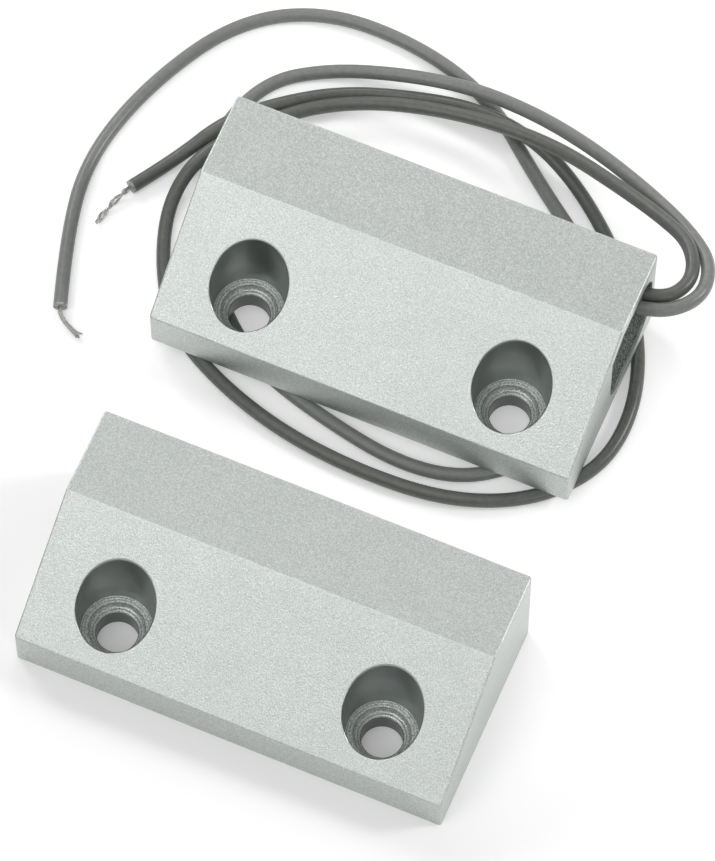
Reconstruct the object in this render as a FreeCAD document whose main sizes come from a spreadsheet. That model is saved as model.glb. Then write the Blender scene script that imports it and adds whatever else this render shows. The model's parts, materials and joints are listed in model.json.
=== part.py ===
import FreeCAD, Part
import math
import os
import re
import Sketcher

# Wired magnetic contact for a door or window: a switch half with two leads and a magnet half.
# Millimetres. +X runs along the halves, +Y from their front edge to their back, +Z off the surface.
# Each half is drawn in a frame of its own: x from its middle, y from its front, z from its base.

os.makedirs("parts", exist_ok=True)
doc = FreeCAD.newDocument("magnetic_contact")

SIZES = (
    # the die-cast wedge, the same for both halves
    ("housing_length", 50),
    ("housing_width", 24.8),
    ("housing_height", 14.6),
    ("front_height", 5.5),
    ("slope_run", 14.6),
    ("corner_round", 0.35),
    ("edge_round", 0.2),
    # the two stepped screw holes
    ("screw_inset", 9.4),
    ("screw_setback", 6),
    ("screw_hole_radius", 2.3),
    ("straight_height", 2.4),
    ("ring_radius", 3.05),
    ("ring_height", 2.95),
    ("seat_radius", 3.95),
    ("seat_height", 3.3),
    ("seat_draft", 3.6),
    ("mouth_round", 0.15),
    # the pocket behind the holes, open at one end
    ("screw_web", 2.05),
    ("back_wall", 1.1),
    ("floor_wall", 1.8),
    ("roof_wall", 1.5),
    ("blind_wall", 2.5),
    ("pocket_back_round", 4),
    ("pocket_front_round", 2.5),
    ("potting_recess", 0.3),
    # where the two halves stand
    ("half_pitch", 40),
    ("half_shift", 1.8),
    ("rest_gap", 0.1),
    # the leads
    ("lead_diameter", 1.6),
    ("lead_buried", 2.3),
    ("lead_a_inset", 2.7),
    ("lead_pitch", 1.7),
    ("lead_drop", 3.8),
    ("exit_run", 4.1),
    ("strand_radius", 0.3),
    # the reed capsule and its blades
    ("glass_length", 20),
    ("glass_radius", 1.3),
    ("glass_wall", 0.45),
    ("glass_seal", 2.5),
    ("glass_taper", 0.6),
    ("leg_radius", 0.3),
    ("near_gap", 7.2),
    ("far_gap", 3),
    ("blade_thick", 0.2),
    ("blade_wide", 1.2),
    ("blade_overlap", 1.5),
    ("blade_gap", 0.05),
    ("blade_root", 1),
    ("cradle_wall", 0.6),
    ("cradle_width", 3.6),
    ("cradle_slack", 0.05),
    # the joints between the blades' legs and the leads
    ("core_radius", 0.38),
    ("core_gap", 0.03),
    ("core_reach", 1.6),
    ("core_bend", 2.8),
    ("core_lead_in", 2),
    ("core_clear", 1.8),
    ("solder_inset", 1.5),
    ("solder_length", 2.4),
    ("solder_radius", 0.95),
    ("solder_taper", 0.5),
    ("shrink_length", 3.6),
    ("shrink_radius", 1.4),
    ("shrink_wall", 0.25),
    ("sleeve_radius", 0.7),
    ("sleeve_wall", 0.28),
    ("sleeve_inset", 0.5),
    # the rod magnet
    ("magnet_length", 30),
    ("magnet_radius", 3.5),
    ("magnet_chamfer", 0.4),
)

sheet = doc.addObject("Spreadsheet::Sheet", "sizes")
for row, (alias, number) in enumerate(SIZES, 1):
    sheet.set(f"A{row}", alias)
    sheet.set(f"B{row}", str(number))
    sheet.setAlias(f"B{row}", alias)
doc.recompute()
NAMES = {alias for alias, number in SIZES}

# Formulas used in more than one place, all in a half's own frame.
SLOPE_RISE = "(housing_height - front_height)"
SLOPE_DROP = f"(roof_wall * sqrt(slope_run ^ 2 + {SLOPE_RISE} ^ 2) / slope_run)"
HALF_LENGTH = "(housing_length / 2)"
SCREW_X = f"({HALF_LENGTH} - screw_inset)"
POCKET_FRONT = "(screw_setback + seat_radius + screw_web)"
POCKET_BACK = "(housing_width - back_wall)"
POCKET_ROOF = "(housing_height - roof_wall)"
POCKET_KNEE_Y = f"(({POCKET_ROOF} - front_height + {SLOPE_DROP}) * slope_run / {SLOPE_RISE})"
POCKET_KNEE_Z = f"(front_height + {SLOPE_RISE} * {POCKET_FRONT} / slope_run - {SLOPE_DROP})"
MIDDLE_Y = f"(({POCKET_FRONT} + {POCKET_BACK}) / 2)"
MIDDLE_Z = f"((floor_wall + {POCKET_ROOF}) / 2)"
LEAD_A_Y = "(housing_width - lead_a_inset)"
LEAD_B_Y = f"({LEAD_A_Y} - lead_pitch)"
LEAD_X = f"({HALF_LENGTH} - potting_recess - lead_buried)"
CORE_Y = f"({MIDDLE_Y} + leg_radius + core_radius + core_gap)"
JOINT_Y = f"(({MIDDLE_Y} + {CORE_Y}) / 2)"
LEAD_Z = f"({POCKET_ROOF} - lead_drop)"
NEAR_LEG_END = f"({HALF_LENGTH} - potting_recess - near_gap)"
FAR_LEG_END = f"(blind_wall + far_gap - {HALF_LENGTH})"
GLASS_X = f"(({NEAR_LEG_END} + {FAR_LEG_END}) / 2)"
GLASS_END = "(glass_length / 2)"
NEAR_JOINT_X = f"({NEAR_LEG_END} - solder_inset)"
FAR_JOINT_X = f"({FAR_LEG_END} + solder_inset)"

# Where each half's frame stands in the frame of the whole part.
SWITCH_PLACE = ("-half_shift / 2", "(half_pitch - housing_width) / 2", "lead_diameter + rest_gap")
MAGNET_PLACE = ("half_shift / 2", "-(half_pitch + housing_width) / 2", "0")


def cells(formula):
    """The formula with each size name pointed at its cell."""
    return re.sub(r"[a-z_]+", lambda word: "sizes." * (word.group() in NAMES) + word.group(), formula)


def value(formula):
    """The formula's number at the sheet's present sizes."""
    found = sheet.evalExpression(cells(formula))
    return float(getattr(found, "Value", found))


def bind(thing, **formulas):
    """Ties properties of a document object to formulas; two underscores stand for a dot."""
    for name, formula in formulas.items():
        thing.setExpression(name.replace("__", "."), cells(formula))


def put(thing, place, spot=("0", "0", "0")):
    """Ties a position to a spot in the frame of the half that stands at the place."""
    bind(thing, Placement__Base__x=f"{place[0]} + {spot[0]}", Placement__Base__y=f"{place[1]} + {spot[1]}",
         Placement__Base__z=f"{place[2]} + {spot[2]}")


def along_x(thing):
    """Turns a primitive that grows along Z so that it grows along X."""
    thing.Placement.Rotation = FreeCAD.Rotation(FreeCAD.Vector(0, 1, 0), 90)


def new_body(label):
    body = doc.addObject("PartDesign::Body", label)
    body.Label = label
    return body


def plane_sketch(body, role, label):
    """An empty sketch on one of the body's own origin planes."""
    sketch = body.newObject("Sketcher::SketchObject", label)
    planes = [item for item in body.Origin.OriginFeatures if item.Role == role]
    sketch.AttachmentSupport = [(planes[0], "")]
    sketch.MapMode = "FlatFace"
    return sketch


def outline(sketch, corners):
    """A closed outline of straight lines, each corner pinned by two formulas."""
    spots = [FreeCAD.Vector(value(across), value(up), 0) for across, up in corners]
    for index, spot in enumerate(spots):
        sketch.addGeometry(Part.LineSegment(spot, spots[(index + 1) % len(spots)]), False)
    for index in range(len(spots)):
        sketch.addConstraint(Sketcher.Constraint("Coincident", index - 1 if index else len(spots) - 1, 2,
                                                 index, 1))
    for index, (across, up) in enumerate(corners):
        for kind, formula, number in (("DistanceX", across, spots[index].x),
                                      ("DistanceY", up, spots[index].y)):
            pinned = sketch.addConstraint(Sketcher.Constraint(kind, -1, 1, index, 1, number))
            sketch.setExpression(f"Constraints[{pinned}]", cells(formula))
    doc.recompute()


def edges_where(thing, test):
    """The names of the edges whose bounding box passes the test."""
    return [f"Edge{number}" for number, edge in enumerate(thing.Shape.Edges, 1) if test(edge.BoundBox)]


def round_edges(body, base, size_name, test):
    """A fillet of one named radius on the base feature's chosen edges."""
    fillet = body.newObject("PartDesign::Fillet", size_name + "_fillet")
    fillet.Base = (base, edges_where(base, test))
    bind(fillet, Radius=size_name)
    doc.recompute()
    return fillet


def is_at(number, formula):
    return abs(number - value(formula)) < 0.001


def runs_along(box, axis):
    """Whether an edge's box is a straight line along one axis."""
    spans = {"X": box.XLength, "Y": box.YLength, "Z": box.ZLength}
    return spans.pop(axis) > 0.5 and max(spans.values()) < 0.001


def pocket_outline(sketch):
    """The pocket's section across the half, under the slope and the flat top."""
    outline(sketch, ((POCKET_FRONT, "floor_wall"), (POCKET_BACK, "floor_wall"), (POCKET_BACK, POCKET_ROOF),
                     (POCKET_KNEE_Y, POCKET_ROOF), (POCKET_FRONT, POCKET_KNEE_Z)))


def round_pocket(body, base):
    """The rounds along the pocket's three square corners."""
    back = round_edges(body, base, "pocket_back_round", lambda box: runs_along(box, "X")
                       and is_at(box.YMin, POCKET_BACK)
                       and (is_at(box.ZMin, "floor_wall") or is_at(box.ZMin, POCKET_ROOF)))
    return round_edges(body, back, "pocket_front_round", lambda box: runs_along(box, "X")
                       and is_at(box.YMin, POCKET_FRONT) and is_at(box.ZMin, "floor_wall"))


def housing(label, side, place):
    """The cast wedge, its pocket open at the right (side 1) or the left (side -1)."""
    body = new_body(label)
    put(body, place)
    section = plane_sketch(body, "YZ_Plane", "wedge_section")
    outline(section, (("0", "0"), ("housing_width", "0"), ("housing_width", "housing_height"),
                      ("slope_run", "housing_height"), ("0", "front_height")))
    wedge = body.newObject("PartDesign::Pad", "wedge")
    wedge.Profile = section
    wedge.SideType = "Symmetric"
    bind(wedge, Length="housing_length")
    doc.recompute()
    corners = round_edges(body, wedge, "corner_round", lambda box: runs_along(box, "Z"))
    rim = round_edges(body, corners, "edge_round", lambda box: box.ZMax > 0.001 and box.ZMin > 0.001)

    mouth = plane_sketch(body, "YZ_Plane", "pocket_mouth")
    bind(mouth, AttachmentOffset__Base__z=f"{side} * {HALF_LENGTH}")
    pocket_outline(mouth)
    pocket = body.newObject("PartDesign::Pocket", "pocket")
    pocket.Profile = mouth
    pocket.Reversed = side < 0
    bind(pocket, Length="housing_length - blind_wall")
    doc.recompute()
    rounded = round_pocket(body, pocket)

    stepped = plane_sketch(body, "XZ_Plane", "screw_hole_section")
    bind(stepped, AttachmentOffset__Base__x=SCREW_X, AttachmentOffset__Base__z="-screw_setback")
    wall_top = "(housing_height + edge_round)"
    wall_radius = f"(seat_radius + ({wall_top} - seat_height) * tan(seat_draft))"
    outline(stepped, (("0", "-edge_round"), ("screw_hole_radius", "-edge_round"),
                      ("screw_hole_radius", "straight_height"), ("ring_radius", "ring_height"),
                      ("ring_radius", "seat_height"), ("seat_radius", "seat_height"),
                      (wall_radius, wall_top), ("0", wall_top)))
    hole = body.newObject("PartDesign::Groove", "screw_hole")
    hole.Profile = stepped
    hole.ReferenceAxis = (stepped, ["V_Axis"])
    hole.Angle = 360
    doc.recompute()
    both = body.newObject("PartDesign::Mirrored", "both_screw_holes")
    both.Originals = [hole]
    both.MirrorPlane = ([item for item in body.Origin.OriginFeatures if item.Role == "YZ_Plane"][0], [""])
    body.Tip = both
    doc.recompute()
    mouths = round_edges(body, both, "mouth_round", lambda box: box.XLength > value("2 * seat_radius")
                         and box.XLength < value("3 * seat_radius") and box.ZLength > value("seat_height"))
    body.Tip = mouths
    print(label, "volume: wedge", round(rim.Shape.Volume), "pocket", round(rounded.Shape.Volume),
          "one hole", round(hole.Shape.Volume), "both", round(both.Shape.Volume))
    return body


def potting_block(label, side, place):
    """The resin that fills the pocket up to its recess, before the inner pieces leave their room."""
    body = new_body(label)
    put(body, place)
    face = plane_sketch(body, "YZ_Plane", "potting_face")
    bind(face, AttachmentOffset__Base__z=f"{side} * ({HALF_LENGTH} - potting_recess)")
    pocket_outline(face)
    block = body.newObject("PartDesign::Pad", "potting_fill")
    block.Profile = face
    block.Reversed = side > 0
    bind(block, Length="housing_length - blind_wall - potting_recess")
    doc.recompute()
    body.Tip = round_pocket(body, block)
    return body


def rod(label, start, end, radius, across, up, place=SWITCH_PLACE):
    """A cylinder along X between two formulas."""
    bar = doc.addObject("Part::Cylinder", label)
    along_x(bar)
    bind(bar, Radius=radius, Height=f"{end} - {start}")
    put(bar, place, (start, across, up))
    return bar


def slab(label, start, end, low, up, across, width):
    """A box between two formulas along X and two along Z, centred across."""
    box = doc.addObject("Part::Box", label)
    bind(box, Length=f"{end} - {start}", Width=width, Height=f"{up} - {low}")
    put(box, SWITCH_PLACE, (start, f"{across} - {width} / 2", low))
    return box


def united(label, things):
    fusion = doc.addObject("Part::MultiFuse", label)
    fusion.Shapes = things
    fusion.Refine = True
    return fusion


def without(label, base, tool):
    cut = doc.addObject("Part::Cut", label)
    cut.Label = label
    cut.Base = base
    cut.Tool = tool
    return cut


def path_edges(points):
    """Straight runs joined by tangent arcs, each as large as its two runs allow."""
    share = 0.45
    spots = [FreeCAD.Vector(*point) for point in points]
    last = spots[0]
    edges = []
    radii = []
    for before, here, after in zip(spots, spots[1:], spots[2:]):
        back = before - here
        ahead = after - here
        cut = share * min(back.Length, ahead.Length)
        enter = here + back.normalize() * cut
        leave = here + ahead.normalize() * cut
        half_turn = (math.pi - back.getAngle(ahead)) / 2
        radius = cut / math.tan(half_turn)
        toward = (back + ahead).normalize()
        centre = here + toward * math.hypot(radius, cut)
        edges.append(Part.LineSegment(last, enter).toShape())
        edges.append(Part.Arc(enter, centre - toward * radius, leave).toShape())
        radii.append(radius)
        last = leave
    edges.append(Part.LineSegment(last, spots[-1]).toShape())
    return edges, radii


def tube(label, points, radius):
    """A round tube swept along the path through the points, with its volume checked."""
    edges, radii = path_edges(points)
    wire = Part.Wire(edges)
    route = doc.addObject("Part::Feature", label + "_route")
    route.Shape = wire
    section = doc.addObject("Part::Circle", label + "_section")
    bind(section, Radius=radius)
    heading = FreeCAD.Vector(*points[1]) - FreeCAD.Vector(*points[0])
    section.Placement = FreeCAD.Placement(FreeCAD.Vector(*points[0]),
                                          FreeCAD.Rotation(FreeCAD.Vector(0, 0, 1), heading))
    sweep = doc.addObject("Part::Sweep", label)
    sweep.Label = label
    sweep.Sections = [section]
    sweep.Spine = (route, [f"Edge{number}" for number in range(1, len(edges) + 1)])
    sweep.Solid = True
    doc.recompute()
    wanted = math.pi * value(radius) ** 2 * wire.Length
    print(label, "length", round(wire.Length, 1), "least bend", round(min(radii), 2),
          "volume share", round(sweep.Shape.Volume / wanted, 4))
    return sweep


def spot_of(*formulas):
    """A spot of the switch half's frame, in the frame of the whole part."""
    return tuple(value(f"{shift} + {formula}") for shift, formula in zip(SWITCH_PLACE, formulas))


# The two cast housings.
switch_housing = housing("switch_housing", 1, SWITCH_PLACE)
magnet_housing = housing("magnet_housing", -1, MAGNET_PLACE)

switch_block = potting_block("switch_potting_block", 1, SWITCH_PLACE)


def spindle(label, centre, across, half, radius, taper):
    """A solid turned about a line along X: a cylinder with coned ends, centred on two formulas."""
    body = new_body(label)
    section = plane_sketch(body, "XZ_Plane", label + "_section")
    outline(section, ((f"-{half}", "0"), (f"-{half}", f"{radius} - {taper}"), (f"{taper} - {half}", radius),
                      (f"{half} - {taper}", radius), (half, f"{radius} - {taper}"), (half, "0")))
    turn = body.newObject("PartDesign::Revolution", label + "_turn")
    turn.Profile = section
    turn.ReferenceAxis = (section, ["H_Axis"])
    turn.Angle = 360
    doc.recompute()
    put(body, SWITCH_PLACE, (centre, across, MIDDLE_Z))
    return body


# The reed capsule: turned, hollow between its two seals.
glass_body = spindle("glass_envelope", GLASS_X, MIDDLE_Y, GLASS_END, "glass_radius", "glass_taper")
SEAL_NEAR = f"({GLASS_X} + {GLASS_END} - glass_seal)"
SEAL_FAR = f"({GLASS_X} - {GLASS_END} + glass_seal)"
glass_hollow = rod("glass_hollow", SEAL_FAR, SEAL_NEAR, "glass_radius - glass_wall", MIDDLE_Y, MIDDLE_Z)
leg_holes = rod("leg_holes", FAR_LEG_END, NEAR_LEG_END, "leg_radius", MIDDLE_Y, MIDDLE_Z)
reed_glass = without("reed_glass", glass_body, united("glass_inside", [glass_hollow, leg_holes]))


def blade(label, leg_end, seal, tip, low):
    """A leg of wire through the seal, flattened inside the capsule into a contact blade."""
    root = f"({seal} + blade_root)" if value(tip) > value(seal) else f"({seal} - blade_root)"
    first, second = (root, leg_end) if value(leg_end) > value(root) else (leg_end, root)
    leg = rod(label + "_leg", first, second, "leg_radius", MIDDLE_Y, MIDDLE_Z)
    first, second = (tip, root) if value(root) > value(tip) else (root, tip)
    flat = slab(label + "_flat", first, second, low, f"{low} + blade_thick", MIDDLE_Y, "blade_wide")
    piece = united(label, [leg, flat])
    piece.Label = label
    return piece, leg


reed_blade_near, near_leg = blade("reed_blade_near", NEAR_LEG_END, SEAL_NEAR,
                                  f"({GLASS_X} - blade_overlap / 2)", f"({MIDDLE_Z} + blade_gap / 2)")
reed_blade_far, far_leg = blade("reed_blade_far", FAR_LEG_END, SEAL_FAR,
                                f"({GLASS_X} + blade_overlap / 2)",
                                f"({MIDDLE_Z} - blade_gap / 2 - blade_thick)")

# The moulded cradle that holds the capsule in the middle of the pocket, shaped to the pocket's rounds.
CRADLE_NEAR = f"({GLASS_X} + {GLASS_END} + cradle_wall)"
CRADLE_FAR = f"({GLASS_X} - {GLASS_END} - cradle_wall)"
cradle_slab = slab("cradle_slab", CRADLE_FAR, CRADLE_NEAR, "floor_wall", MIDDLE_Z, MIDDLE_Y, "cradle_width")
cradle_block = doc.addObject("Part::Common", "cradle_block")
cradle_block.Base = cradle_slab
cradle_block.Tool = switch_block
cradle_groove = rod("cradle_groove", f"({CRADLE_FAR} + cradle_wall - cradle_slack)",
                    f"({CRADLE_NEAR} - cradle_wall + cradle_slack)", "glass_radius + cradle_slack",
                    MIDDLE_Y, MIDDLE_Z)
cradle_slots = rod("cradle_slots", FAR_LEG_END, NEAR_LEG_END, "leg_radius + cradle_slack",
                   MIDDLE_Y, MIDDLE_Z)
reed_cradle = without("reed_cradle", cradle_block, united("cradle_room", [cradle_groove, cradle_slots]))

# The stripped cores: lead B's to the near leg, lead A's back along the capsule to the far leg.
NEAR_TURN = f"({NEAR_JOINT_X} + shrink_length / 2 + core_clear)"
FAR_TURN = f"({FAR_JOINT_X} + shrink_length / 2 + core_clear)"
lead_b_core = tube("lead_b_core", (
    spot_of(LEAD_X, LEAD_B_Y, LEAD_Z),
    spot_of(f"{LEAD_X} - core_lead_in", LEAD_B_Y, LEAD_Z),
    spot_of(NEAR_TURN, CORE_Y, MIDDLE_Z),
    spot_of(f"{NEAR_JOINT_X} - core_reach", CORE_Y, MIDDLE_Z)), "core_radius")
lead_a_core = tube("lead_a_core", (
    spot_of(LEAD_X, LEAD_A_Y, LEAD_Z),
    spot_of(f"{FAR_TURN} + core_bend", LEAD_A_Y, LEAD_Z),
    spot_of(FAR_TURN, CORE_Y, MIDDLE_Z),
    spot_of(f"{FAR_JOINT_X} - core_reach", CORE_Y, MIDDLE_Z)), "core_radius")
SLEEVE_END = f"({FAR_TURN} + 2 * core_bend)"
sleeve_rod = rod("sleeve_rod", SLEEVE_END, f"({LEAD_X} - sleeve_inset)", "sleeve_radius",
                 LEAD_A_Y, LEAD_Z)
sleeve_bore = rod("sleeve_bore", SLEEVE_END, f"({LEAD_X} - sleeve_inset)", "sleeve_radius - sleeve_wall",
                  LEAD_A_Y, LEAD_Z)
lead_a_sleeve = without("lead_a_sleeve", sleeve_rod, sleeve_bore)


def solder(label, centre, leg):
    """A drop of solder round a leg and a core that lie side by side."""
    drop = spindle(label + "_drop", centre, JOINT_Y, "(solder_length / 2)", "solder_radius", "solder_taper")
    core = rod(label + "_core", f"({centre} - core_reach)", f"({centre} + core_reach)", "core_radius",
               CORE_Y, MIDDLE_Z)
    return without(label, drop, united(label + "_wires", [leg, core]))


def shrink(label, centre):
    """A shrink tube centred on a joint, and the solid rod of its outside."""
    first = f"({centre} - shrink_length / 2)"
    second = f"({centre} + shrink_length / 2)"
    outside = rod(label + "_outside", first, second, "shrink_radius", JOINT_Y, MIDDLE_Z)
    inside = rod(label + "_inside", first, second, "shrink_radius - shrink_wall", JOINT_Y, MIDDLE_Z)
    return without(label, outside, inside), outside


solder_near = solder("solder_near", NEAR_JOINT_X, near_leg)
solder_far = solder("solder_far", FAR_JOINT_X, far_leg)
shrink_near, near_room = shrink("shrink_near", NEAR_JOINT_X)
shrink_far, far_room = shrink("shrink_far", FAR_JOINT_X)

# The switch half's resin, with room for every piece that it holds.
LEAD_RADIUS = "(lead_diameter / 2)"
lead_a_room = rod("lead_a_room", LEAD_X, HALF_LENGTH, LEAD_RADIUS, LEAD_A_Y, LEAD_Z)
lead_b_room = rod("lead_b_room", LEAD_X, HALF_LENGTH, LEAD_RADIUS, LEAD_B_Y, LEAD_Z)
switch_room = united("switch_room", [glass_body, leg_holes, cradle_block, lead_a_core, lead_b_core,
                                     sleeve_rod, near_room, far_room, lead_a_room, lead_b_room])
switch_potting = without("switch_potting", switch_block, switch_room)

# The rod magnet, and the resin round it.
magnet_rod = rod("magnet_rod", "(-magnet_length / 2)", "(magnet_length / 2)", "magnet_radius",
                 MIDDLE_Y, MIDDLE_Z, MAGNET_PLACE)
doc.recompute()
bar_magnet = doc.addObject("Part::Chamfer", "bar_magnet")
bar_magnet.Label = "bar_magnet"
bar_magnet.Base = magnet_rod
bar_magnet.Edges = [(number, value("magnet_chamfer"), value("magnet_chamfer"))
                    for number, edge in enumerate(magnet_rod.Shape.Edges, 1) if edge.Closed]
magnet_block = potting_block("magnet_potting_block", -1, MAGNET_PLACE)
magnet_potting = without("magnet_potting", magnet_block, bar_magnet)

# The leads' routes in the frame of the whole part. Both start in the resin and loop behind the
# housing, go under it, round in front of its right end and under it again, and end at the left.
lead_a_start = spot_of(LEAD_X, LEAD_A_Y, LEAD_Z)
lead_b_start = spot_of(LEAD_X, LEAD_B_Y, LEAD_Z)
LEAD_A_ROUTE = (
    lead_a_start, (lead_a_start[0] + value("exit_run"), lead_a_start[1], lead_a_start[2]),
    (28.1, 33.4, 10.8), (26.2, 37.9, 10.2), (21.5, 40.4, 9.0), (15.5, 42.8, 7.4), (8.0, 45.2, 6.0),
    (0.0, 46.0, 4.8), (-8.0, 45.5, 3.6), (-15.5, 43.7, 2.7), (-21.8, 40.2, 2.3), (-26.6, 35.5, 2.5),
    (-30.2, 30.5, 2.7), (-31.4, 24.5, 1.0), (-29.0, 17.5, 0.8), (-24.7, 10.5, 0.8), (-17.3, 6.2, 0.8),
    (-8.3, 3.3, 0.8), (1.7, 2.2, 0.8), (11.8, 2.8, 0.8), (20.1, 6.3, 0.8), (25.6, 12.5, 0.8),
    (26.7, 19.8, 0.8), (24.6, 27.8, 0.8), (19.6, 35.7, 0.8), (12.0, 43.0, 0.9), (4.6, 46.7, 2.7),
    (-3.3, 47.9, 2.7), (-11.2, 47.3, 0.8), (-18.7, 44.7, 0.8), (-25.0, 40.6, 2.0), (-29.6, 35.6, 2.8),
    (-32.7, 29.9, 0.9), (-35.8, 24.3, 0.8))
LEAD_B_ROUTE = (
    lead_b_start, (lead_b_start[0] + value("exit_run"), lead_b_start[1], lead_b_start[2]),
    (29.7, 31.7, 10.8), (29.0, 36.7, 9.9), (24.8, 40.4, 8.4), (18.5, 43.8, 6.9), (11.0, 47.0, 5.4),
    (3.0, 49.2, 4.1), (-5.5, 49.9, 3.1), (-14.0, 48.8, 1.8), (-21.5, 46.6, 0.8), (-27.1, 42.6, 0.8),
    (-29.6, 34.9, 0.8), (-28.1, 26.1, 0.8), (-22.9, 17.3, 0.8), (-14.8, 9.8, 0.8), (-5.2, 6.7, 0.8),
    (6.2, 4.6, 0.8), (14.7, 6.8, 0.8), (21.3, 14.9, 0.8), (21.7, 26.6, 0.8), (15.8, 35.7, 0.8),
    (6.0, 42.9, 0.8), (-2.6, 50.3, 0.8), (-12.6, 53.6, 0.8), (-24.3, 53.7, 0.8), (-33.4, 48.3, 0.8),
    (-39.3, 36.8, 0.8), (-41.7, 25.7, 0.8), (-39.9, 16.0, 0.8), (-36.9, 7.6, 0.8))
lead_a = tube("lead_a", LEAD_A_ROUTE, LEAD_RADIUS)
lead_b = tube("lead_b", LEAD_B_ROUTE, LEAD_RADIUS)


def bare_end(label, route, spots):
    """The bared strands past a lead's last point: they leave it straight, then bend to the spots."""
    last = FreeCAD.Vector(*route[-1])
    heading = (last - FreeCAD.Vector(*route[-2])).normalize()
    first = last + heading * value(LEAD_RADIUS)
    return tube(label, (route[-1], tuple(first)) + spots, "strand_radius")


lead_a_strands = bare_end("lead_a_strands", LEAD_A_ROUTE, ((-37.0, 21.4, 0.7), (-37.6, 18.8, 0.33)))
lead_b_strands = bare_end("lead_b_strands", LEAD_B_ROUTE, ((-35.3, 5.9, 0.6), (-33.5, 5.3, 0.33)))
doc.recompute()

PIECES = (switch_housing, switch_potting, reed_glass, reed_blade_near, reed_blade_far, reed_cradle,
          lead_a_core, lead_b_core, lead_a_sleeve, solder_near, solder_far, shrink_near, shrink_far,
          lead_a, lead_b, lead_a_strands, lead_b_strands, magnet_housing, magnet_potting, bar_magnet)
nodes = {piece.Label: piece.Shape for piece in PIECES}
for thing in doc.Objects:
    if "Invalid" in thing.State or "Error" in thing.State:
        raise RuntimeError(f"{thing.Label} did not build: {thing.State}")
for label, shape in nodes.items():
    if shape.isNull() or not shape.isValid() or len(shape.Solids) != 1:
        raise RuntimeError(f"{label} is not one valid solid")
    box = shape.BoundBox
    print(label, "volume", round(shape.Volume, 2), "x", round(box.XMin, 2), round(box.XMax, 2),
          "y", round(box.YMin, 2), round(box.YMax, 2), "z", round(box.ZMin, 2), round(box.ZMax, 2))
for label, shape in nodes.items():
    shape.exportStep(f"parts/{label}.step")
print(len(nodes), "pieces")
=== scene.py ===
import json
import math
import bpy
import numpy as np
from mathutils import Matrix, Vector


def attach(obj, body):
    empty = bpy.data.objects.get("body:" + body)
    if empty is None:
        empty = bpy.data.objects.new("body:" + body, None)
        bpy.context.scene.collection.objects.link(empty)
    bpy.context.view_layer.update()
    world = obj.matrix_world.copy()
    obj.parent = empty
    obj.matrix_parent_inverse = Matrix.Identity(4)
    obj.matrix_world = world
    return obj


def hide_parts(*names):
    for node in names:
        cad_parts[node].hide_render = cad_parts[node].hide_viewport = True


# Wired magnetic contact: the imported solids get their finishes, and the two leads and their bared
# ends are made here. Metres throughout; MM turns millimetres to metres.

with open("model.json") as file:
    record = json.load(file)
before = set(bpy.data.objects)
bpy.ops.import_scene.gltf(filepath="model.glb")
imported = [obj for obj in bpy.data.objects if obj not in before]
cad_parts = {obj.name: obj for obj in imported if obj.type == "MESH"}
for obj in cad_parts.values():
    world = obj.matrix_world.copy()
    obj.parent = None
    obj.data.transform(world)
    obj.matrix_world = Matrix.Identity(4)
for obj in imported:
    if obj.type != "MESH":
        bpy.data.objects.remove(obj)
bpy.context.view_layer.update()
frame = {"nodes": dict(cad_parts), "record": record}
MM = 0.001

MOUNTS = {mount["name"]: mount for mount in frame["record"]["mounts"]}

# The counterbores, as the solids have them: the seat's height above the base, the draft of the
# wall in degrees, the wall's radius, brought down to the base along its draft, and the radii of
# the ring step and of the bore.
SEAT_HEIGHT = 3.3 * MM
SEAT_DRAFT = 3.6
WALL_SLOPE = math.tan(math.radians(SEAT_DRAFT))
WALL_RADIUS = 3.95 * MM - SEAT_HEIGHT * WALL_SLOPE
STEP_RADIUS = 3.05 * MM
BORE_RADIUS = MOUNTS["magnet_screw_holes"]["dims"]["hole_r_mm"] * MM

# How far beyond a counterbore's limit its finish starts to go over into the next, and has gone:
# at the wall's mouth, at the bore, at the seat's floor and at a lead's cut end. Then the distance
# from the ring step of the thin line of painted shade in the step's crease, and its half width.
MOUTH_EDGE = (0.08 * MM, 0.16 * MM)
BORE_EDGE = (0.03 * MM, 0.08 * MM)
FLOOR_EDGE = (0.02 * MM, 0.12 * MM)
CUT_EDGE = (0.02 * MM, 0.08 * MM)
STEP_SHADE_PLACE, STEP_SHADE_HALF = 0.05 * MM, 0.035 * MM

# Sizes of what the finishes show: the spray's flakes and the slow cloud in it, the spacing of the
# cutter's rings, the torn plastic of a cut end, the resin's filler and the jackets' skin. Real
# flakes measure a few hundredths of a millimetre, too fine to show, so they are drawn as coarse as
# they need to be.
FLAKE_SIZE = 0.14 * MM
CLOUD_SIZE = 5 * MM
RING_PITCH = 0.3 * MM
TORN_SIZE = 0.25 * MM
FILLER_SIZE = 0.3 * MM
JACKET_GRAIN = 0.6 * MM
JACKET_RELIEF = 0.008 * MM

LEAD_DIAMETER = 1.6 * MM
WIRE_DIAMETER = 0.16 * MM
WIRE_SIDES = 8

# A bared end: its points along, the length of one turn of a group and of a wire in it, by how many
# of its points each of the seven wires ends short, and the share of the length from which it
# frays, with the least part of the fray that a wire takes. Then, by the number of groups, how far
# a group's middle is from the line at most and a wire from its group's, in wire diameters.
STRAND_POINTS = 60
GROUP_TURN = 4.4 * MM
WIRE_TURN = 2.4 * MM
CUT_SHORT = (0, 4, 1, 6, 2, 5, 0)
FRAY_START, FRAY_LEAST = 0.66, 0.3
SPACING = {1: (0.0, 1.2), 2: (1.35, 0.65)}

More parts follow.
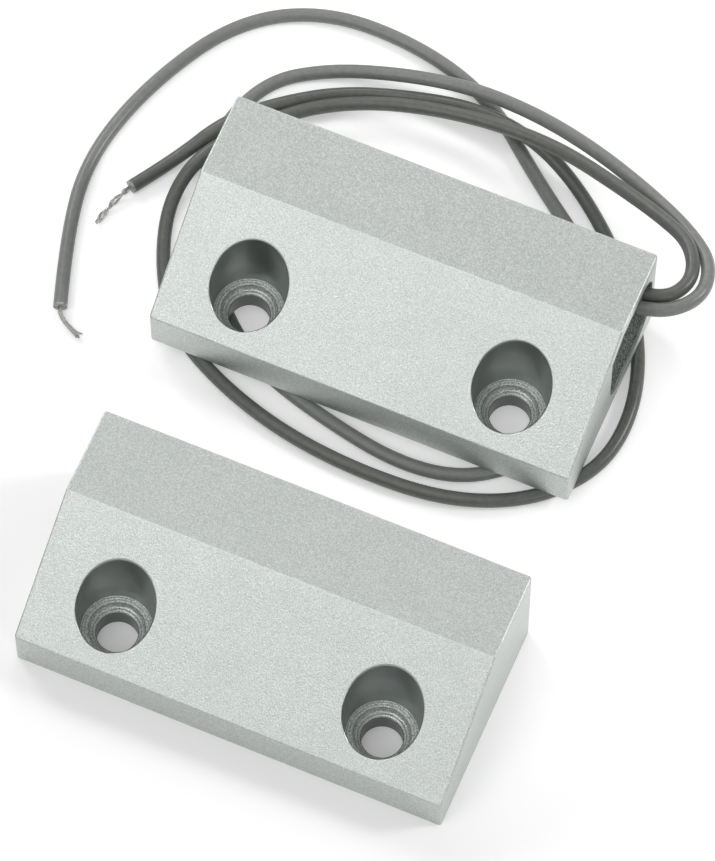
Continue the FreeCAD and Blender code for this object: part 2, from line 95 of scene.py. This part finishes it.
# The leads' routes, in millimetres, as the solids have them, but for six points of lead A at the
# left corner, which are moved by under a millimetre to pass behind it as in the photo.
LEAD_A_ROUTE = (
    (21.5, 29.7, 11.0), (25.6, 29.7, 11.0), (28.1, 33.4, 10.8), (26.2, 37.9, 10.2),
    (21.5, 40.4, 9.0), (15.5, 42.8, 7.4), (8.0, 45.2, 6.0), (0.0, 46.0, 4.8),
    (-8.0, 45.5, 3.6), (-15.5, 43.7, 2.7), (-21.8, 40.2, 2.3), (-26.3, 35.2, 2.5),
    (-29.9, 30.2, 2.7), (-31.1, 24.5, 1.0), (-29.0, 17.5, 0.8), (-24.7, 10.5, 0.8),
    (-17.3, 6.2, 0.8), (-8.3, 3.3, 0.8), (1.7, 2.2, 0.8), (11.8, 2.8, 0.8),
    (20.1, 6.3, 0.8), (25.6, 12.5, 0.8), (26.7, 19.8, 0.8), (24.6, 27.8, 0.8),
    (19.6, 35.7, 0.8), (12.0, 43.0, 0.9), (4.6, 46.7, 2.7), (-3.3, 47.9, 2.7),
    (-11.2, 47.3, 0.8), (-18.7, 44.7, 0.8), (-24.4, 40.0, 2.2), (-29.0, 35.0, 3.0),
    (-32.4, 29.6, 0.9), (-35.8, 24.3, 0.8))
LEAD_B_ROUTE = (
    (21.5, 28.0, 11.0), (25.6, 28.0, 11.0), (29.7, 31.7, 10.8), (29.0, 36.7, 9.9),
    (24.8, 40.4, 8.4), (18.5, 43.8, 6.9), (11.0, 47.0, 5.4), (3.0, 49.2, 4.1),
    (-5.5, 49.9, 3.1), (-14.0, 48.8, 1.8), (-21.5, 46.6, 0.8), (-27.1, 42.6, 0.8),
    (-29.6, 34.9, 0.8), (-28.1, 26.1, 0.8), (-22.9, 17.3, 0.8), (-14.8, 9.8, 0.8),
    (-5.2, 6.7, 0.8), (6.2, 4.6, 0.8), (14.7, 6.8, 0.8), (21.3, 14.9, 0.8),
    (21.7, 26.6, 0.8), (15.8, 35.7, 0.8), (6.0, 42.9, 0.8), (-2.6, 50.3, 0.8),
    (-12.6, 53.6, 0.8), (-24.3, 53.7, 0.8), (-33.4, 48.3, 0.8), (-39.3, 36.8, 0.8),
    (-41.7, 25.7, 0.8), (-39.9, 16.0, 0.8), (-36.9, 7.6, 0.8))
STRANDS_A_ROUTE = ((-35.8, 24.3, 0.8), (-36.19, 23.6, 0.8), (-37.0, 21.4, 0.7), (-37.6, 18.8, 0.33))
STRANDS_B_ROUTE = ((-36.9, 7.6, 0.8), (-36.63, 6.85, 0.8), (-35.3, 5.9, 0.6), (-33.5, 5.3, 0.33))

# The photograph's camera, from the fit of its corners: its place in millimetres, its heading from
# +Y towards +X and down from the horizon in degrees, and its focal length in the photo's pixels.
# The sensor's width is in millimetres.
CAMERA_PLACE = (115.85, -265.11, 641.32)
CAMERA_HEADING = -23.18
CAMERA_DIP = 65.22
FOCAL_PIXELS = 6400
PHOTO_HEIGHT = 861
SENSOR = 36.0

# The room's light behind the set and before it, half the floor's side in metres, and the floor's
# added glow: the least of it within GLOW_START of a line of constant y just before the magnet
# half, and the most of it GLOW_REACH and more from that line. The dip is a painted shadow on the
# floor there, which the half's low front face mirrors, so that face is painted darker too.
ROOM_BEHIND, ROOM_BEFORE = 0.38, 0.28
HALF_FLOOR = 3.0
PAINTED_SHADOW_LINE = -45 * MM
GLOW_START, GLOW_REACH = 5 * MM, 60 * MM
GLOW_IN_PAINTED_SHADOW, GLOW_MOST = 0.10, 0.34

# The lamps: name, place in metres, width in metres, power in watts.
LAMPS = (
    ("window", (-0.30, 1.00, 0.85), 0.5, 2.3),
    ("softbox", (-0.27, -0.50, 1.17), 1.0, 3.8),
    ("front_card", (-0.40, -0.80, 0.95), 0.4, 1.2),
    ("ceiling_panel", (-0.05, 0.10, 1.30), 0.5, 1.2),
    ("back_left_card", (-0.85, 0.55, 0.75), 0.4, 3.8),
    ("edge_card", (0.84, 0.46, 0.72), 0.25, 4.5),
    ("side_card", (0.75, -0.70, 0.73), 0.25, 1.5),
)


# Nodes

def linear(text):
    """The linear colour of an sRGB hex value: a channel c becomes ((c + 0.055) / 1.055) ^ 2.4."""
    channels = [int(text[place:place + 2], 16) / 255 for place in (1, 3, 5)]
    return tuple(c / 12.92 if c <= 0.04045 else ((c + 0.055) / 1.055) ** 2.4
                 for c in channels) + (1.0,)


def set_inputs(tree, node, inputs):
    """Gives a node its inputs, each a constant or another node's output."""
    for name, given in inputs.items():
        if isinstance(given, bpy.types.NodeSocket):
            tree.links.new(given, node.inputs[name])
        else:
            node.inputs[name].default_value = given


def add(tree, kind, settings, inputs):
    """Adds one node with its properties and its inputs."""
    node = tree.nodes.new(kind)
    for name, setting in settings.items():
        setattr(node, name, setting)
    set_inputs(tree, node, inputs)
    return node


def scalar(tree, operation, *values):
    """A Math node's value."""
    return add(tree, "ShaderNodeMath", {"operation": operation}, dict(enumerate(values))).outputs[0]


def vector(tree, operation, *values):
    """A Vector Math node, with a vector or a number as its result."""
    node = add(tree, "ShaderNodeVectorMath", {"operation": operation}, dict(enumerate(values)))
    return node.outputs["Value" if operation in ("LENGTH", "DISTANCE") else "Vector"]


def between(tree, amount, low, high, start, end):
    """Goes from start to end as the amount goes from low to high, and no further."""
    node = add(tree, "ShaderNodeMapRange", {}, {
        "Value": amount, "From Min": low, "From Max": high, "To Min": start, "To Max": end})
    return node.outputs["Result"]


def within(tree, amount, limit, edge):
    """1 up to the limit and 0 beyond it, with the change between the edge's two distances."""
    return between(tree, amount, limit + edge[0], limit + edge[1], 1.0, 0.0)


def noise(tree, place, size, detail=2.0, roughness=0.5):
    """A noise texture whose features are about the size across."""
    node = add(tree, "ShaderNodeTexNoise", {}, {
        "Vector": place, "Scale": 1 / size, "Detail": detail, "Roughness": roughness})
    return node.outputs["Fac"]


def blend(tree, share, first, second):
    """The first colour where the share is 0 and the second where it is 1. A Mix node has its two
    colours at inputs 6 and 7 and their result at output 2."""
    return add(tree, "ShaderNodeMix", {"data_type": "RGBA"},
               {"Factor": share, 6: first, 7: second}).outputs[2]


def colour_steps(tree, amount, steps):
    """A ramp from the amount to a colour; the steps are (position, hex) pairs."""
    ramp = add(tree, "ShaderNodeValToRGB", {}, {"Fac": amount})
    points = ramp.color_ramp.elements
    while len(points) < len(steps):
        points.new(0.5)
    for point, (position, text) in zip(points, steps):
        point.position = position
        point.color = linear(text)
    return ramp.outputs["Color"]


def relief(tree, height, strength, distance):
    """The normal of a surface that the height raises by up to the distance."""
    return add(tree, "ShaderNodeBump", {}, {
        "Height": height, "Strength": strength, "Distance": distance}).outputs["Normal"]


def new_material(name):
    """A material with only its output and a shader, and its tree, shader and Object coordinates."""
    material = bpy.data.materials.new(name)
    material.use_nodes = True
    tree = material.node_tree
    shader = tree.nodes["Principled BSDF"]
    place = add(tree, "ShaderNodeTexCoord", {}, {}).outputs["Object"]
    return material, tree, shader, place


# Materials

def sprayed_die_cast(name, holes):
    """Zinc die-casting with a sprayed silver finish, whose flakes give a fine even grain. The
    cutter that opened the screw seats after the spraying left rings in their floors. The seats'
    walls are painted darker than the spray, as shade in the recess, and the bores and the crease at
    the ring step are darker still, as painted shade."""
    material, tree, shader, place = new_material(name)
    flake = noise(tree, place, FLAKE_SIZE, detail=1.0)
    cloud = noise(tree, place, CLOUD_SIZE)
    mixed = scalar(tree, "MULTIPLY_ADD", cloud, 0.08, flake)
    spray = colour_steps(tree, mixed, ((0.36, "#B1B6B2"), (0.54, "#C1C6C2"), (0.74, "#D5D9D6")))

    # how far a point is from the nearer hole's axis, and how high above the casting's base
    moved = vector(tree, "SUBTRACT", place, holes["pos_m"])
    folded = vector(tree, "ABSOLUTE", moved)
    from_axis = vector(tree, "SUBTRACT", folded, (holes["dims"]["spacing_x_mm"] / 2 * MM, 0.0, 0.0))
    reach = vector(tree, "LENGTH", vector(tree, "MULTIPLY", from_axis, (1.0, 1.0, 0.0)))
    height = add(tree, "ShaderNodeSeparateXYZ", {}, {"Vector": moved}).outputs["Z"]

    # inside a counterbore: within its drafted wall's radius at that height, with its mouth's edge
    wall = scalar(tree, "MULTIPLY_ADD", height, -WALL_SLOPE, reach)
    bored = within(tree, wall, WALL_RADIUS, MOUTH_EDGE)
    # a thin line of painted shade in the crease at the ring step, and painted shade in the bore
    step_crease_shade = scalar(tree, "COMPARE", reach, STEP_RADIUS + STEP_SHADE_PLACE, STEP_SHADE_HALF)
    dark = scalar(tree, "MAXIMUM", within(tree, reach, BORE_RADIUS, BORE_EDGE), step_crease_shade)
    low = within(tree, height, SEAT_HEIGHT, FLOOR_EDGE)
    floor = scalar(tree, "MULTIPLY", low, bored)

    # the cutter's rings, in the seat's floor alone
    rings = scalar(tree, "SINE", scalar(tree, "MULTIPLY", reach, 2 * math.pi / RING_PITCH))
    broken = scalar(tree, "MULTIPLY_ADD", rings, 0.1, flake)
    # the walls' colour, darker than the spray: painted shade of the recess
    walls = colour_steps(tree, cloud, ((0.3, "#959A97"), (0.7, "#A5AAA7")))
    seats = colour_steps(tree, broken, ((0.3, "#8F9491"), (0.5, "#C4C9C5"), (0.7, "#E9ECEA")))
    # the bore and the step's crease take the painted shade's darker colour
    seats = blend(tree, dark, seats, linear("#6B706D"))
    # the colours inside each counterbore, with the painted shade of its walls, bore and step crease
    inside_with_painted_shade = blend(tree, floor, walls, seats)

    # the walls are plain metal, smoother than the spray; the floors are dulled by their rings
    shine = scalar(tree, "SUBTRACT", bored, floor)
    metal = scalar(tree, "MULTIPLY_ADD", floor, -0.35, between(tree, shine, 0.0, 1.0, 0.75, 1.0))
    skin = scalar(tree, "MULTIPLY", flake, scalar(tree, "SUBTRACT", 1.0, bored))
    raised = scalar(tree, "MULTIPLY_ADD", scalar(tree, "MULTIPLY", rings, floor), 0.6, skin)
    set_inputs(tree, shader, {
        "Base Color": blend(tree, bored, spray, inside_with_painted_shade), "Metallic": metal,
        "Roughness": between(tree, shine, 0.0, 1.0, 0.38, 0.3),
        "Normal": relief(tree, raised, 0.8, 0.03 * MM)})
    return material


def filled_resin(name):
    """Poured epoxy with a mineral filler: dull dark grey with paler and darker grains."""
    material, tree, shader, place = new_material(name)
    grain = add(tree, "ShaderNodeTexVoronoi", {}, {"Vector": place, "Scale": 1 / FILLER_SIZE})
    cloud = noise(tree, place, FILLER_SIZE, detail=3.0, roughness=0.8)
    shade = colour_steps(tree, cloud, ((0.36, "#1E211F"), (0.5, "#40443F"), (0.66, "#9CA19A")))
    raised = scalar(tree, "ADD", cloud, grain.outputs["Distance"])
    set_inputs(tree, shader, {
        "Base Color": shade, "Roughness": 0.9, "Specular IOR Level": 0.2,
        "Normal": relief(tree, raised, 1.0, 0.15 * MM)})
    return material


def moulded(name, dark, pale, grain, roughness, height=0.02 * MM, cut_end=None):
    """A moulded or extruded plastic: one colour with a faint cloud in it and a fine matt skin. A
    lead's jacket is paler and rough where it was cut, near its end point."""
    material, tree, shader, place = new_material(name)
    skin = noise(tree, place, grain, detail=3.0, roughness=0.6)
    shade = colour_steps(tree, skin, ((0.3, dark), (0.7, pale)))
    if cut_end:
        away = vector(tree, "DISTANCE", place, tuple(MM * number for number in cut_end))
        torn = noise(tree, place, TORN_SIZE)
        face = colour_steps(tree, torn, ((0.35, "#6F726E"), (0.65, "#B4B7B2")))
        shade = blend(tree, within(tree, away, LEAD_DIAMETER / 2, CUT_EDGE), shade, face)
    set_inputs(tree, shader, {"Base Color": shade, "Roughness": roughness,
                              "Normal": relief(tree, skin, 0.3, height)})
    return material


def bare_metal(name, dark, pale, grain, roughness):
    """A plain metal: a fine mottle in its colour and its shine."""
    material, tree, shader, place = new_material(name)
    mottle = noise(tree, place, grain, detail=3.0, roughness=0.6)
    set_inputs(tree, shader, {
        "Base Color": colour_steps(tree, mottle, ((0.3, dark), (0.7, pale))), "Metallic": 1.0,
        "Roughness": between(tree, mottle, 0.0, 1.0, roughness - 0.08, roughness + 0.08),
        "Normal": relief(tree, mottle, 0.25, 0.02 * MM)})
    return material


def capsule_glass(name):
    """Soda-lime glass of the reed capsule: clear, faintly green, with a soft draw line."""
    material, tree, shader, place = new_material(name)
    draw = noise(tree, place, 1.5 * MM)
    set_inputs(tree, shader, {
        "Base Color": colour_steps(tree, draw, ((0.3, "#D5E6DC"), (0.7, "#E6F2EA"))),
        "Roughness": 0.05, "IOR": 1.5, "Transmission Weight": 0.9})
    return material


# PVC jackets are smooth from the extruder, with a soft shine, and one is darker than the other.
# Tinned copper is a dull silver, nickel-iron greyer and solder brighter. Nylon is milky, silicone
# sleeving pale and dull, heat-shrink tube black, and a cast magnet dark and rough.
JACKET_A = moulded("pvc_jacket_a", "#555853", "#61645F", JACKET_GRAIN, 0.34, JACKET_RELIEF,
                   LEAD_A_ROUTE[-1])
JACKET_B = moulded("pvc_jacket_b", "#737672", "#7E817D", JACKET_GRAIN, 0.34, JACKET_RELIEF,
                   LEAD_B_ROUTE[-1])
TINNED_COPPER = bare_metal("tinned_copper", "#A09F9C", "#D2D1CE", 0.2 * MM, 0.36)
FILLED_RESIN = filled_resin("filled_epoxy")
NODE_FINISHES = {
    "switch_housing": sprayed_die_cast("sprayed_die_cast_switch", MOUNTS["switch_screw_holes"]),
    "magnet_housing": sprayed_die_cast("sprayed_die_cast_magnet", MOUNTS["magnet_screw_holes"]),
    "switch_potting": FILLED_RESIN,
    "magnet_potting": FILLED_RESIN,
    "reed_glass": capsule_glass("reed_capsule_glass"),
    "reed_blade_near": bare_metal("nickel_iron_blade", "#8E8C86", "#B4B2AB", 0.15 * MM, 0.3),
    "reed_cradle": moulded("natural_nylon", "#CFC9BA", "#E0DBCD", 1.0 * MM, 0.5),
    "lead_a_sleeve": moulded("silicone_sleeving", "#B9B7AE", "#CBC9C1", 0.8 * MM, 0.5),
    "shrink_near": moulded("heat_shrink_tube", "#151515", "#202020", 0.5 * MM, 0.45),
    "solder_near": bare_metal("soft_solder", "#9A9A98", "#C4C4C1", 0.4 * MM, 0.28),
    "bar_magnet": bare_metal("cast_magnet_alloy", "#5A5A5C", "#77777A", 0.5 * MM, 0.5),
    "lead_a_core": TINNED_COPPER,
}
SAME_FINISH = {"reed_blade_far": "reed_blade_near", "solder_far": "solder_near",
               "shrink_far": "shrink_near", "lead_b_core": "lead_a_core"}
for node, twin in SAME_FINISH.items():
    NODE_FINISHES[node] = NODE_FINISHES[twin]
for node, finish in NODE_FINISHES.items():
    mesh = frame["nodes"][node].data
    mesh.materials.clear()
    mesh.materials.append(finish)


# The leads

def spline_object(name, route):
    """A smooth NURBS curve, in metres, whose control points are the route's, in millimetres."""
    curve = bpy.data.curves.new(name, "CURVE")
    curve.dimensions = "3D"
    spline = curve.splines.new("NURBS")
    spline.points.add(len(route) - 1)
    spots = np.ones((len(route), 4))
    spots[:, :3] = np.array(route) * MM
    spline.points.foreach_set("co", spots.ravel())
    spline.order_u = 3
    spline.use_endpoint_u = True
    spline.resolution_u = 12
    piece = bpy.data.objects.new(name, curve)
    bpy.context.scene.collection.objects.link(piece)
    return piece


def centre_line(name, route):
    """The points of the route's NURBS curve, as Blender draws it with no bevel."""
    piece = spline_object(name, route)
    bpy.context.view_layer.update()
    mesh = bpy.data.meshes.new_from_object(piece)
    spots = np.empty(len(mesh.vertices) * 3)
    mesh.vertices.foreach_get("co", spots)
    curve = piece.data
    bpy.data.objects.remove(piece)
    bpy.data.curves.remove(curve)
    bpy.data.meshes.remove(mesh)
    return spots.reshape(-1, 3)


def mesh_piece(name, spots, faces, material):
    """A mesh object from arrays, shaded smooth, that rides on the one body."""
    mesh = bpy.data.meshes.new(name)
    mesh.from_pydata(spots.tolist(), [], faces.tolist())
    mesh.polygons.foreach_set("use_smooth", np.ones(len(mesh.polygons), bool))
    mesh.materials.append(material)
    mesh.validate()
    piece = bpy.data.objects.new(name, mesh)
    bpy.context.scene.collection.objects.link(piece)
    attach(piece, "root")
    return piece


def crossings(line):
    """For each point of a line, two directions across it: across is its heading crossed with the
    world's up, and over is across crossed with the heading."""
    heading = np.gradient(line, axis=0)
    heading /= np.linalg.norm(heading, axis=1, keepdims=True)
    across = np.cross(heading, (0.0, 0.0, 1.0))
    across /= np.linalg.norm(across, axis=1, keepdims=True)
    return across, np.cross(across, heading)


def wire_arrays(line):
    """One wire as a closed tube: point = line + radius * (cos(a) * across + sin(a) * over), with a
    point at the middle of each end. Returns its points and its faces as triangles."""
    across, over = crossings(line)
    turn = np.linspace(0, 2 * math.pi, WIRE_SIDES, endpoint=False)
    ring = (np.cos(turn)[None, :, None] * across[:, None]
            + np.sin(turn)[None, :, None] * over[:, None])
    spots = line[:, None] + WIRE_DIAMETER / 2 * ring
    count = len(line)
    step, side = np.meshgrid(np.arange(count - 1), np.arange(WIRE_SIDES), indexing="ij")
    here, beside = step * WIRE_SIDES + side, step * WIRE_SIDES + (side + 1) % WIRE_SIDES
    quads = np.stack([here, here + WIRE_SIDES, beside + WIRE_SIDES, beside], -1).reshape(-1, 4)
    walls = np.concatenate([quads[:, (0, 1, 2)], quads[:, (0, 2, 3)]])
    rim = np.arange(WIRE_SIDES)
    after = (rim + 1) % WIRE_SIDES
    last = (count - 1) * WIRE_SIDES
    start = np.stack([np.full(WIRE_SIDES, count * WIRE_SIDES), rim, after], -1)
    end = np.stack([np.full(WIRE_SIDES, count * WIRE_SIDES + 1), last + after, last + rim], -1)
    spots = np.concatenate([spots.reshape(-1, 3), line[:1], line[-1:]])
    return spots, np.concatenate([walls, start, end])


def bared_strands(name, route, groups, fray):
    """A stripped end of seven loosely twisted wires, in one group or in two that are twisted round
    each other. Group g's middle = line + apart * (cos(t) * across + sin(t) * over), where t = g / 2
    of a turn plus one turn per GROUP_TURN of length. Apart is nought for one group, and grows over
    the first half of a lead's diameter for two. Each wire winds round its group's middle, one turn
    per WIRE_TURN, as far off as SPACING says, and by its part of the fray further at the end."""
    line = centre_line(name + "_line", route)
    gone = np.concatenate([[0.0], np.cumsum(np.linalg.norm(np.diff(line, axis=0), axis=1))])
    stops = np.linspace(0, gone[-1], STRAND_POINTS)
    line = np.stack([np.interp(stops, gone, line[:, axis]) for axis in range(3)], -1)
    across, over = crossings(line)
    spread = np.clip((stops / stops[-1] - FRAY_START) / (1 - FRAY_START), 0, 1) ** 2

    def wind(middle, reach, turn):
        round_it = np.cos(turn)[:, None] * across + np.sin(turn)[:, None] * over
        return middle + reach[:, None] * round_it

    widest, lay = SPACING[groups]
    apart = widest * WIRE_DIAMETER * np.clip(stops / (LEAD_DIAMETER / 2), 0, 1)
    spots, faces, first = [], [], 0
    for wire, short in enumerate(CUT_SHORT):
        middle = wind(line, apart, wire % groups * math.pi + 2 * math.pi * stops / GROUP_TURN)
        part = FRAY_LEAST + (1 - FRAY_LEAST) * math.sin(2.4 * wire) ** 2
        loose = lay * WIRE_DIAMETER + fray * part * spread
        turn = 4 * math.pi * wire / len(CUT_SHORT) + 2 * math.pi * stops / WIRE_TURN
        path = wind(middle, loose, turn)
        path[:, 2] = np.maximum(path[:, 2], WIRE_DIAMETER / 2)
        points, triangles = wire_arrays(path[:STRAND_POINTS - short])
        spots.append(points)
        faces.append(triangles + first)
        first += len(points)
    spots, faces = np.concatenate(spots), np.concatenate(faces)
    return mesh_piece(name, spots, faces, TINNED_COPPER)


def lead(name, node, route, jacket):
    """One insulated lead: its NURBS curve with a round section, in place of the solid's lead,
    which is hidden.
    """
    piece = spline_object(name, route)
    piece.data.bevel_depth = LEAD_DIAMETER / 2
    piece.data.bevel_resolution = 6
    piece.data.use_fill_caps = True
    piece.data.materials.append(jacket)
    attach(piece, "root")
    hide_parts(node)
    line = centre_line(name + "_line", route)


strands_a = bared_strands("lead_a_bared_strands", STRANDS_A_ROUTE, 2, 0.05 * MM)
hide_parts("lead_a_strands")
strands_b = bared_strands("lead_b_bared_strands", STRANDS_B_ROUTE, 1, 0.25 * MM)
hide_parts("lead_b_strands")
lead("lead_a_jacket", "lead_a", LEAD_A_ROUTE, JACKET_A)
lead("lead_b_jacket", "lead_b", LEAD_B_ROUTE, JACKET_B)


# The stage, the lamps and the camera

def stage_floor():
    """A wide flat square of white paper under the set, which keeps its soft shadow. A glow is added
    for camera, glossy and transmission rays alike. The glow is dimmer along a line just before the
    magnet half, a painted shadow there."""
    mesh = bpy.data.meshes.new("floor")
    half = HALF_FLOOR
    mesh.from_pydata([(-half, -half, 0), (half, -half, 0), (half, half, 0), (-half, half, 0)], [],
                     [(0, 1, 2, 3)])
    material, tree, shader, place = new_material("white_paper")
    set_inputs(tree, shader, {"Base Color": linear("#EEEEEE"), "Roughness": 0.9})
    rays = add(tree, "ShaderNodeLightPath", {}, {}).outputs
    seen = scalar(tree, "MAXIMUM", rays["Is Camera Ray"], rays["Is Glossy Ray"])
    seen = scalar(tree, "MAXIMUM", seen, rays["Is Transmission Ray"])
    depth = add(tree, "ShaderNodeSeparateXYZ", {}, {"Vector": place}).outputs["Y"]
    away = scalar(tree, "ABSOLUTE", scalar(tree, "ADD", depth, -PAINTED_SHADOW_LINE))
    # the glow is lowest near a line just before the magnet half: a painted shadow on the floor,
    # which that half's front face mirrors as painted shade
    share = between(tree, away, GLOW_START, GLOW_REACH, GLOW_IN_PAINTED_SHADOW, GLOW_MOST)
    glow = add(tree, "ShaderNodeEmission", {}, {"Strength": scalar(tree, "MULTIPLY", seen, share)})
    both = add(tree, "ShaderNodeAddShader", {}, {0: shader.outputs[0], 1: glow.outputs[0]})
    tree.links.new(both.outputs[0], tree.nodes["Material Output"].inputs["Surface"])
    mesh.materials.append(material)
    floor = bpy.data.objects.new("floor", mesh)
    bpy.context.scene.collection.objects.link(floor)


def lamp(name, place, width, power):
    """A square area lamp that faces the origin."""
    light = bpy.data.lights.new(name, "AREA")
    light.shape = "SQUARE"
    light.size = width
    light.energy = power
    source = bpy.data.objects.new(name, light)
    source.location = place
    source.rotation_euler = (-Vector(place)).to_track_quat("-Z", "Y").to_euler()
    bpy.context.scene.collection.objects.link(source)


def room_light():
    """A pale studio round the set, whose strength goes from one value behind it to one before."""
    world = bpy.data.worlds.new("studio")
    world.use_nodes = True
    tree = world.node_tree
    heading = add(tree, "ShaderNodeTexCoord", {}, {}).outputs["Generated"]
    ahead = add(tree, "ShaderNodeSeparateXYZ", {}, {"Vector": heading}).outputs["Y"]
    set_inputs(tree, tree.nodes["Background"], {
        "Strength": between(tree, ahead, -1.0, 1.0, ROOM_BEFORE, ROOM_BEHIND),
        "Color": linear("#FFFFFF")})
    bpy.context.scene.world = world


def photo_camera():
    """The photograph's camera, with no roll. The photo is taller than wide, so Blender lays the
    sensor's width along its height."""
    heading, dip = math.radians(CAMERA_HEADING), math.radians(CAMERA_DIP)
    ahead = Vector((math.sin(heading) * math.cos(dip), math.cos(heading) * math.cos(dip),
                    -math.sin(dip)))
    right = Vector((math.cos(heading), -math.sin(heading), 0.0))
    up = right.cross(ahead)
    lens = bpy.data.cameras.new("photo_camera")
    lens.sensor_width = SENSOR
    lens.lens = FOCAL_PIXELS / PHOTO_HEIGHT * SENSOR
    lens.clip_start = 0.01
    camera = bpy.data.objects.new("photo_camera", lens)
    turn = Matrix((right, up, -ahead)).transposed().to_4x4()
    camera.matrix_world = Matrix.Translation(Vector(CAMERA_PLACE) * MM) @ turn
    bpy.context.scene.collection.objects.link(camera)
    bpy.context.scene.camera = camera


stage_floor()
room_light()
for name, place, width, power in LAMPS:
    lamp(name, place, width, power)
photo_camera()
bpy.context.scene.view_settings.view_transform = "Standard"
